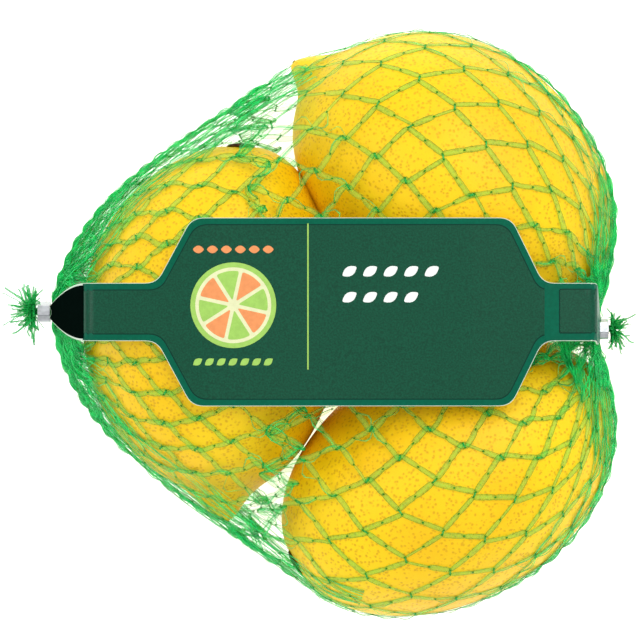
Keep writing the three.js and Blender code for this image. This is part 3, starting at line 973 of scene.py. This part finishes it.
def sheet(outline, lift, thickness):
    """A closed film inside an outline, laid on the band: vertices, triangles and side faces."""
    outline = divided(np.asarray(outline, float))
    low, high = outline.min(0), outline.max(0)
    columns = np.arange(low[0], high[0], SURFACE_GRID)
    left = np.arange(LEFT_U, LEFT_CREASE[0] + BEND_REACH, BEND_GRID)
    right = np.arange(RIGHT_CREASE[0] - BEND_REACH, RIGHT_U, BEND_GRID)
    columns = np.unique(np.concatenate([columns, left, right]).round(3))
    columns = columns[(columns > low[0]) & (columns < high[0])]
    rows = np.arange(low[1], high[1], SURFACE_GRID)
    grid = np.array([(u, y) for u in columns for y in rows]).reshape(-1, 2)
    points = np.vstack([outline, grid[inside(outline, grid, GRID_MARGIN)]])
    count = len(outline)
    loop = [(k, (k + 1) % count) for k in range(count)]
    cut = delaunay_2d_cdt([Vector(p) for p in points], loop, [], 1, 1e-5)
    flat = np.array(cut[0])
    triangles = np.array([f for f in cut[2] if len(f) == 3])
    a, b, c = (flat[triangles[:, k]] for k in range(3))
    clockwise = (b[:, 0] - a[:, 0]) * (c[:, 1] - a[:, 1]) < (b[:, 1] - a[:, 1]) * (c[:, 0] - a[:, 0])
    triangles[clockwise] = triangles[clockwise][:, ::-1]
    sides = np.concatenate([triangles[:, [0, 1]], triangles[:, [1, 2]], triangles[:, [2, 0]]])
    known = set(map(tuple, sides.tolist()))
    border = np.array([s for s in sides.tolist() if (s[1], s[0]) not in known])
    top = on_band(flat[:, 0], flat[:, 1], np.full(len(flat), lift))
    under = on_band(flat[:, 0], flat[:, 1], np.full(len(flat), lift - thickness))
    n = len(flat)
    walls = np.stack([border[:, 0], border[:, 0] + n, border[:, 1] + n, border[:, 1]], -1)
    faces = np.concatenate([triangles, triangles[:, ::-1] + n])
    return np.vstack([top, under]), faces, walls


def make_sheets(name, outlines, level, material, *nodes):
    """One piece out of flat films in one colour, a number of print steps above the film."""
    surface = BAND_THICKNESS / 2
    thickness = FILM_THICKNESS if level == 0 else PRINT_THICKNESS
    films, start = [], 0
    for outline in outlines:
        verts, faces, walls = sheet(outline, surface + level * PRINT_STEP, thickness)
        films.append((verts, faces + start, walls + start))
        start += len(verts)
    verts, *faces = (np.concatenate(v) for v in zip(*films))
    make_piece(name, verts, faces, material, "band", *nodes, smooth=False)


CUT_EDGE = 0.13
FLAP_END = LEFT_CREASE[0] - 0.8
FLAP_EDGE = 0.35
FLAP_EDGE_END = 0.4
RIM_WIDTH = 1.45
LINE_WIDTH = 0.22
BAR_START = 50.3
BAR_END = 0.3
BAR_EDGE = 0.1
BOX = (53.8, 62.2, -2.8, 6.8)
BOX_FILLETS = (0.5, 0.4)
DIVIDER_X = -2.7
DIVIDER = (-11.1, 21.6)
DIVIDER_WIDTH = 0.33


def rectangle(x0, x1, y0, y1):
    """Corners of a rectangle, counter-clockwise."""
    return [(x0, y0), (x1, y0), (x1, y1), (x0, y1)]


def make_band():
    """The film with its fields of colour, and a near-black sheet of painted shade over the left flap.
    """
    low, high = BAND_Y - STRIP_HALF_WIDTH, BAND_Y + STRIP_HALF_WIDTH
    bottom, top = BAND_Y - BAND_HALF_WIDTH, BAND_Y + BAND_HALF_WIDTH
    corners = [
        (LEFT_U, low), (BAND_LEFT, low), (BAND_LEFT_FULL, bottom), (BAND_RIGHT_FULL, bottom),
        (BAND_RIGHT, low), (RIGHT_U, low), (RIGHT_U, high), (BAND_RIGHT, high),
        (BAND_RIGHT_FULL, top), (BAND_LEFT_FULL, top), (BAND_LEFT, high), (LEFT_U, high),
    ]
    low, high = low + CUT_EDGE, high - CUT_EDGE
    box = rectangle(*BOX)
    half = DIVIDER_WIDTH / 2
    make_sheets("band_film", [rounded(corners, CORNER_FILLET)], 0, PALE_EDGE, "label_band")
    for name, outline, level, material in (
        ("rim", rounded(inset(corners, CUT_EDGE), CORNER_FILLET), 1, RIM),
        ("line", rounded(inset(corners, RIM_WIDTH), CORNER_FILLET), 2, LINE),
        ("field", rounded(inset(corners, RIM_WIDTH + LINE_WIDTH), CORNER_FILLET), 3, FIELD),
        ("flap_edge", rectangle(LEFT_U + 0.1, FLAP_END - FLAP_EDGE_END, low, high), 4, PALE_EDGE),
        # The flap sheet is painted shade: the folded end darkened in its colour, inside the pale cut
        # edges.
        ("flap", rectangle(LEFT_U + 0.4, FLAP_END, low + FLAP_EDGE, high - FLAP_EDGE), 6, PAINTED_FLAP_SHADE),
        ("bar", rectangle(BAR_START, RIGHT_U - BAR_END, low + BAR_EDGE, high - BAR_EDGE), 4, RIM),
        ("box_line", rounded(inset(box, -LINE_WIDTH), BOX_FILLETS[0]), 6, LINE),
        ("box", rounded(box, BOX_FILLETS[1]), 8, FIELD),
        ("divider", rectangle(DIVIDER_X - half, DIVIDER_X + half, *DIVIDER), 5, LIME),
    ):
        make_sheets(f"band_{name}", [outline], level, material)


def placed(points, x, y, tilt):
    """An outline turned by some degrees and moved to x, y."""
    c, s = np.cos(np.radians(tilt)), np.sin(np.radians(tilt))
    return points @ np.array([[c, s], [-s, c]]) + [x, y]


def lemon_shape(x, y, length, height, tilt=0.0, steps=28):
    """A lemon outline with a small point at either end."""
    turn = full_turn(steps)
    reach = 0.4 * length * np.cos(turn) + 0.1 * length * np.cos(turn) ** 9
    return placed(np.stack([reach, height / 2 * np.sin(turn)], -1), x, y, tilt)


def leaf_shape(x, y, length, width, tilt, steps=9):
    """A pointed leaf from its stalk at x, y."""
    t = np.linspace(0, 1, steps)
    upper = np.stack([t * length, width / 2 * np.sin(np.pi * t)], -1)
    lower = upper[-2:0:-1] * (1, -1)
    return placed(np.vstack([upper, lower])[::-1], x, y, tilt)


# A cut fruit: its middle and radius, how far in its pith and its segments begin, and how far
# from the middle the segments end.
SLICE = {"x": -19.4, "y": 3.3, "radius": 9.6, "pith": 1.1, "edge": 1.9, "heart": 1.1}
SEGMENTS = 8
SEGMENT_START = 10
SEGMENT_GAP = 3
SEGMENT_FILLET = 0.5


def wedge(inner, outer, middle_turn, half_turn, steps=8):
    """One segment of the cut fruit."""
    x, y = SLICE["x"], SLICE["y"]
    turn = np.radians(np.linspace(middle_turn - half_turn, middle_turn + half_turn, steps))
    arc = np.stack([x + outer * np.cos(turn), y + outer * np.sin(turn)], -1)
    middle = np.radians(middle_turn)
    point = np.array([[x + inner * np.cos(middle), y + inner * np.sin(middle)]])
    return rounded(np.vstack([point, arc]), SEGMENT_FILLET, 4)


def make_slice():
    """A cut fruit with segments in two colours, as the band's emblem."""
    x, y, radius = SLICE["x"], SLICE["y"], SLICE["radius"]
    make_sheets("slice_rind", [circle(x, y, radius)], 4, LIME)
    make_sheets("slice_pith", [circle(x, y, radius - SLICE["pith"])], 5, CREAM)
    pitch = 360 / SEGMENTS
    half = pitch / 2 - SEGMENT_GAP
    turns = [k * pitch + SEGMENT_START for k in range(SEGMENTS)]
    wedges = [wedge(SLICE["heart"], radius - SLICE["edge"], turn, half) for turn in turns]
    make_sheets("slice_lime_segments", wedges[0::2], 6, LIME)
    make_sheets("slice_peach_segments", wedges[1::2], 6, PEACH)


# Rows of small fruit and leaves where the band has its print: the shape and its sizes, the
# colour, and for each row its first and last x, its y and how many it has.
MOTIFS = (
    ("peach_row", lemon_shape, (2.4, 1.7), PEACH, [(-27.2, -11.6, 15.8, 6)]),
    ("leaf_row", leaf_shape, (2.5, 1.5, 35), LIME, [(-28.4, -12.6, -10.1, 7)]),
    ("white_fruit", lemon_shape, (3.6, 2.1, 32.0), WHITE, [(6.6, 25.0, 10.9, 5), (6.6, 20.4, 5.1, 4)]),
)


def make_motifs():
    """The rows of small fruit and leaves, one piece for each colour."""
    for name, shape, sizes, material, rows in MOTIFS:
        shapes = [shape(x, y, *sizes) for first, last, y, count in rows
                  for x in np.linspace(first, last, count)]
        make_sheets(name, shapes, 4, material)


make_band()
make_slice()
make_motifs()

# Clips: a strip of metal bent round each neck, its ends lapped on top.
CLIP_WALL = 0.62
CLIP_CORNER = 0.9
CLIP_LAP = 1.3
CLIP_STEPS = 6
LAP_START = (0.2, 0.1)
LAP_RISE = 0.75


def make_clip(node, place):
    """A closed strip of metal bent into a square ring, with one end lapped over the other."""
    half = CLIP_HALF_SIZE - CLIP_WALL / 2
    ring = rounded(rectangle(-half, half, -half, half), CLIP_CORNER, CLIP_STEPS)
    seam = np.array([(-CLIP_LAP / 2, half), (-half + CLIP_CORNER, half)])
    lap_end = (-CLIP_LAP / 2 - LAP_START[0], half + CLIP_WALL * LAP_RISE)
    lap = np.array([(half - CLIP_CORNER, half), (LAP_START[0], half + LAP_START[1]), lap_end])
    ring = np.vstack([seam, np.roll(ring, CLIP_STEPS, axis=0)[:-CLIP_STEPS - 1], lap])
    path = np.zeros((1, len(ring), 3))
    path[0, :, 1:] = ring
    path += place + SHIFT
    side = np.broadcast_to(np.array([1.0, 0.0, 0.0]), path.shape)
    face = unit(np.cross(np.gradient(path, axis=1), side))
    verts, quads, ends = swept(path, side, face, CLIP_LENGTH / 2, CLIP_WALL / 2, 4, BOX_SECTION)
    make_piece(f"{node}_metal", verts, [quads, ends], METAL, "clip", node, smooth=False)


make_clip("clip_left", LEFT_CLIP)
make_clip("clip_right", RIGHT_CLIP)


# Floor and light, in metres and watts
FLOOR_SIZE = 2.0
FLOOR_DEPTH = 0.0002
FLOOR_GLOW = 0.8
WORLD_LIGHT = 0.68
WHITE_LIGHT = (1.0, 1.0, 1.0, 1.0)
LIGHT_TARGET = (0, 0, 0.03)


def make_stage():
    """A pale floor that glows a little, so that it stays as white as in the photo."""
    corners = rectangle(-FLOOR_SIZE, FLOOR_SIZE, -FLOOR_SIZE, FLOOR_SIZE)
    mesh = bpy.data.meshes.new("floor")
    mesh.from_pydata([(x, y, 0) for x, y in corners], [], [(0, 1, 2, 3)])
    floor = add_object("floor", mesh)
    material = plain("floor", (240, 240, 240), 0.9, grain=0.01, shine=0.1)
    shader = material.node_tree.nodes["Principled BSDF"]
    set_inputs(shader, {"Emission Color": WHITE_LIGHT, "Emission Strength": FLOOR_GLOW})
    mesh.materials.append(material)
    floor.location.z = -FLOOR_DEPTH


def make_light(name, place, size, power):
    """A round soft light that faces the net."""
    data = bpy.data.lights.new(name, "AREA")
    data.shape = "DISK"
    data.size = size
    data.energy = power
    light = add_object(name, data)
    light.location = place
    way = Vector(LIGHT_TARGET) - Vector(place)
    light.rotation_euler = way.to_track_quat("-Z", "Y").to_euler()


make_stage()
make_light("key", place=(0.3, 0.4, 0.8), size=0.7, power=4.2)
make_light("fill", place=(0.1, -0.6, 0.7), size=0.9, power=0.6)
make_light("side", place=(-0.62, 0.1, 0.72), size=0.3, power=1.2)
world = bpy.data.worlds.new("studio")
bpy.context.scene.world = world
world.use_nodes = True
background = world.node_tree.nodes["Background"]
set_inputs(background, {"Color": WHITE_LIGHT, "Strength": WORLD_LIGHT})
bpy.context.scene.view_settings.view_transform = "Standard"
bpy.context.scene.cycles.transparent_max_bounces = 40
